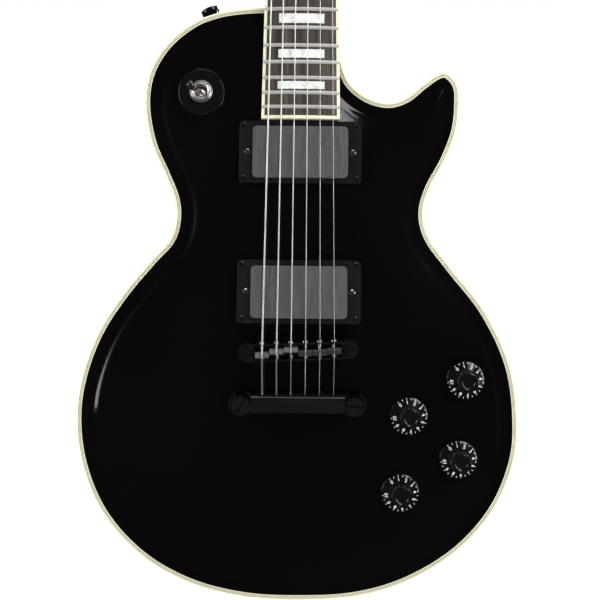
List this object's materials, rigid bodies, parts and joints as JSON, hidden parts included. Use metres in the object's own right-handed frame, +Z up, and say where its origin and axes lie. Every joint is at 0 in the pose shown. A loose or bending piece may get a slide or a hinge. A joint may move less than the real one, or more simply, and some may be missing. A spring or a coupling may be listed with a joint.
{
  "type": "electric guitar",
  "caption": "Single-cutaway carved-top electric guitar with set neck, two covered pickups, post-mounted bridge, stop tailpiece, rotary controls and output jack",
  "frame": {"origin": "centre of the end strap button's head rim, on the centreline at the body's tail", "axes": "+Z up along the neck's side of the body from the tail, front of the guitar faces -Y, +X is the treble side"},
  "size_m": [0.331, 0.1218, 1.0106],
  "materials": {
    "black_lacquer": "high gloss black lacquer over wood",
    "cream_binding": "polished cream plastic",
    "rosewood": "oiled open grain",
    "fret_wire": "polished nickel silver",
    "pearl": "swirled pearl",
    "bone": "satin",
    "steel_rod": "plain",
    "black_plastic": "gloss",
    "black_metal": "black plated, polished",
    "saddle_metal": "plated, fine satin",
    "string_steel": "wound and plain steel",
    "screw_steel": "bright",
    "pickup_cover": "dark satin",
    "nickel": "polished nickel",
    "battery_case": "printed sleeve, plain",
    "wire_jacket": "plain"
  },
  "bodies": {
    "guitar": {"body_back": "black_lacquer", "body_top": "black_lacquer", "binding_front": "cream_binding", "binding_back": "cream_binding", "neck": "black_lacquer", "truss_rod_cover": "black_plastic", "headstock_veneer": "black_lacquer", "headstock_binding": "cream_binding", "fingerboard": "rosewood", "fingerboard_binding": "cream_binding", "frets": "fret_wire", "position_markers": "pearl", "nut": "bone", "tuner_housings": "black_metal", "strings_wound": "string_steel", "strings_plain": "string_steel", "posts_and_bushings": "black_metal", "pickup_rings": "black_plastic", "pickup_screws": "screw_steel", "potentiometers": "nickel", "switch_body": "nickel", "switch_washer": "nickel", "output_jack": "nickel", "rear_covers": "black_plastic", "strap_buttons": "black_metal", "small_screws": "black_metal", "battery": "battery_case", "wiring": "wire_jacket"},
    "tuner_post_1": {"tuner_post_1": "black_metal"},
    "tuner_key_1": {"tuner_key_1": "black_metal"},
    "tuner_post_2": {"tuner_post_2": "black_metal"},
    "tuner_key_2": {"tuner_key_2": "black_metal"},
    "tuner_post_3": {"tuner_post_3": "black_metal"},
    "tuner_key_3": {"tuner_key_3": "black_metal"},
    "tuner_post_4": {"tuner_post_4": "black_metal"},
    "tuner_key_4": {"tuner_key_4": "black_metal"},
    "tuner_post_5": {"tuner_post_5": "black_metal"},
    "tuner_key_5": {"tuner_key_5": "black_metal"},
    "tuner_post_6": {"tuner_post_6": "black_metal"},
    "tuner_key_6": {"tuner_key_6": "black_metal"},
    "knob_neck_volume": {"knob_neck_volume": "black_plastic"},
    "knob_neck_tone": {"knob_neck_tone": "black_plastic"},
    "knob_bridge_volume": {"knob_bridge_volume": "black_plastic"},
    "knob_bridge_tone": {"knob_bridge_tone": "black_plastic"},
    "switch_lever": {"switch_lever": "nickel"},
    "bridge": {"bridge_body": "black_metal", "saddle_screws": "screw_steel"},
    "thumbwheel_bass": {"thumbwheel_bass": "black_metal"},
    "thumbwheel_treble": {"thumbwheel_treble": "black_metal"},
    "saddle_1": {"saddle_1": "saddle_metal"},
    "saddle_2": {"saddle_2": "saddle_metal"},
    "saddle_3": {"saddle_3": "saddle_metal"},
    "saddle_4": {"saddle_4": "saddle_metal"},
    "saddle_5": {"saddle_5": "saddle_metal"},
    "saddle_6": {"saddle_6": "saddle_metal"},
    "tailpiece": {"tailpiece": "black_metal", "tailpiece_studs": "black_metal"},
    "pickup_neck": {"pickup_neck": "pickup_cover"},
    "pickup_bridge": {"pickup_bridge": "pickup_cover"},
    "truss_rod": {"truss_rod": "steel_rod"}
  },
  "joints": [
    {"name": "tuner_key_1_turn", "type": "hinge", "parent": "guitar", "child": "tuner_key_1", "pos_m": [-0.022, 0.03363, 0.88327], "axis": [-1, 0, 0], "continuous": true},
    {"name": "tuner_post_1_turn", "type": "hinge", "parent": "guitar", "child": "tuner_post_1", "pos_m": [-0.022, 0.0107, 0.88254], "axis": [0, -0.9478, 0.319], "continuous": true, "deforming": ["strings_wound", "strings_plain"]},
    {"name": "tuner_key_2_turn", "type": "hinge", "parent": "guitar", "child": "tuner_key_2", "pos_m": [-0.023, 0.04639, 0.92118], "axis": [-1, 0, 0], "continuous": true},
    {"name": "tuner_post_2_turn", "type": "hinge", "parent": "guitar", "child": "tuner_post_2", "pos_m": [-0.023, 0.02346, 0.92045], "axis": [0, -0.9478, 0.319], "continuous": true, "deforming": ["strings_wound", "strings_plain"]},
    {"name": "tuner_key_3_turn", "type": "hinge", "parent": "guitar", "child": "tuner_key_3", "pos_m": [-0.023, 0.05915, 0.95909], "axis": [-1, 0, 0], "continuous": true},
    {"name": "tuner_post_3_turn", "type": "hinge", "parent": "guitar", "child": "tuner_post_3", "pos_m": [-0.023, 0.03622, 0.95836], "axis": [0, -0.9478, 0.319], "continuous": true, "deforming": ["strings_wound", "strings_plain"]},
    {"name": "tuner_key_4_turn", "type": "hinge", "parent": "guitar", "child": "tuner_key_4", "pos_m": [0.023, 0.05915, 0.95909], "axis": [1, 0, 0], "continuous": true},
    {"name": "tuner_post_4_turn", "type": "hinge", "parent": "guitar", "child": "tuner_post_4", "pos_m": [0.023, 0.03622, 0.95836], "axis": [0, -0.9478, 0.319], "continuous": true, "deforming": ["strings_wound", "strings_plain"]},
    {"name": "tuner_key_5_turn", "type": "hinge", "parent": "guitar", "child": "tuner_key_5", "pos_m": [0.023, 0.04639, 0.92118], "axis": [1, 0, 0], "continuous": true},
    {"name": "tuner_post_5_turn", "type": "hinge", "parent": "guitar", "child": "tuner_post_5", "pos_m": [0.023, 0.02346, 0.92045], "axis": [0, -0.9478, 0.319], "continuous": true, "deforming": ["strings_wound", "strings_plain"]},
    {"name": "tuner_key_6_turn", "type": "hinge", "parent": "guitar", "child": "tuner_key_6", "pos_m": [0.022, 0.03363, 0.88327], "axis": [1, 0, 0], "continuous": true},
    {"name": "tuner_post_6_turn", "type": "hinge", "parent": "guitar", "child": "tuner_post_6", "pos_m": [0.022, 0.0107, 0.88254], "axis": [0, -0.9478, 0.319], "continuous": true, "deforming": ["strings_wound", "strings_plain"]},
    {"name": "knob_neck_volume_turn", "type": "hinge", "parent": "guitar", "child": "knob_neck_volume", "pos_m": [0.0815, -0.035, 0.1535], "axis": [0, -1, 0], "range_deg": [0, 300]},
    {"name": "knob_neck_tone_turn", "type": "hinge", "parent": "guitar", "child": "knob_neck_tone", "pos_m": [0.0758, -0.035, 0.0972], "axis": [0, -1, 0], "range_deg": [0, 300]},
    {"name": "knob_bridge_volume_turn", "type": "hinge", "parent": "guitar", "child": "knob_bridge_volume", "pos_m": [0.1229, -0.035, 0.1802], "axis": [0, -1, 0], "range_deg": [0, 300]},
    {"name": "knob_bridge_tone_turn", "type": "hinge", "parent": "guitar", "child": "knob_bridge_tone", "pos_m": [0.1183, -0.035, 0.122], "axis": [0, -1, 0], "range_deg": [0, 300]},
    {"name": "switch_flip", "type": "hinge", "parent": "guitar", "child": "switch_lever", "pos_m": [-0.0735, -0.02974, 0.39014], "axis": [0, 0.0628, 0.998], "range_deg": [0, 30]},
    {"name": "bridge_height", "type": "slide", "parent": "guitar", "child": "bridge", "axis": [0, -1, 0], "range_m": [-0.0032, 0.0016], "deforming": ["strings_wound", "strings_plain"]},
    {"name": "thumbwheel_bass_turn", "type": "hinge", "parent": "bridge", "child": "thumbwheel_bass", "pos_m": [-0.03671, -0.04, 0.19976], "axis": [0, -1, 0], "range_deg": [-1440, 720]},
    {"name": "thumbwheel_treble_turn", "type": "hinge", "parent": "bridge", "child": "thumbwheel_treble", "pos_m": [0.03671, -0.04, 0.20303], "axis": [0, -1, 0], "range_deg": [-1440, 720]},
    {"name": "saddle_1_slide", "type": "slide", "parent": "bridge", "child": "saddle_1", "axis": [-0.0445, 0, 0.999], "range_m": [-0.00075, 0.0039], "deforming": ["strings_wound", "strings_plain"]},
    {"name": "saddle_2_slide", "type": "slide", "parent": "bridge", "child": "saddle_2", "axis": [-0.0445, 0, 0.999], "range_m": [-0.00315, 0.0015], "deforming": ["strings_wound", "strings_plain"]},
    {"name": "saddle_3_slide", "type": "slide", "parent": "bridge", "child": "saddle_3", "axis": [-0.0445, 0, 0.999], "range_m": [-0.0042, 0.00045], "deforming": ["strings_wound", "strings_plain"]},
    {"name": "saddle_4_slide", "type": "slide", "parent": "bridge", "child": "saddle_4", "axis": [-0.0445, 0, 0.999], "range_m": [-0.00105, 0.0036], "deforming": ["strings_wound", "strings_plain"]},
    {"name": "saddle_5_slide", "type": "slide", "parent": "bridge", "child": "saddle_5", "axis": [-0.0445, 0, 0.999], "range_m": [-0.00115, 0.0035], "deforming": ["strings_wound", "strings_plain"]},
    {"name": "saddle_6_slide", "type": "slide", "parent": "bridge", "child": "saddle_6", "axis": [-0.0445, 0, 0.999], "range_m": [-0.00185, 0.0028], "deforming": ["strings_wound", "strings_plain"]},
    {"name": "tailpiece_height", "type": "slide", "parent": "guitar", "child": "tailpiece", "axis": [0, -1, 0], "range_m": [0, 0.004], "deforming": ["strings_wound", "strings_plain"]},
    {"name": "pickup_neck_height", "type": "slide", "parent": "guitar", "child": "pickup_neck", "axis": [0, -0.998, 0.0628], "range_m": [-0.003, 0.0012]},
    {"name": "pickup_bridge_height", "type": "slide", "parent": "guitar", "child": "pickup_bridge", "axis": [0, -0.998, 0.0628], "range_m": [-0.003, 0.0012]},
    {"name": "truss_rod_turn", "type": "hinge", "parent": "guitar", "child": "truss_rod", "pos_m": [0, -0.01645, 0.56949], "axis": [0, 0.0628, 0.998], "range_deg": [-180, 180]}
  ],
  "couplings": [
    {"joint": "tuner_post_1_turn", "follows": "tuner_key_1_turn", "ratio": -0.071429},
    {"joint": "tuner_post_2_turn", "follows": "tuner_key_2_turn", "ratio": -0.071429},
    {"joint": "tuner_post_3_turn", "follows": "tuner_key_3_turn", "ratio": -0.071429},
    {"joint": "tuner_post_4_turn", "follows": "tuner_key_4_turn", "ratio": 0.071429},
    {"joint": "tuner_post_5_turn", "follows": "tuner_key_5_turn", "ratio": 0.071429},
    {"joint": "tuner_post_6_turn", "follows": "tuner_key_6_turn", "ratio": 0.071429},
    {"joint": "thumbwheel_bass_turn", "follows": "bridge_height", "rad_per_m": 7854},
    {"joint": "thumbwheel_treble_turn", "follows": "bridge_height", "rad_per_m": 7854}
  ]
}
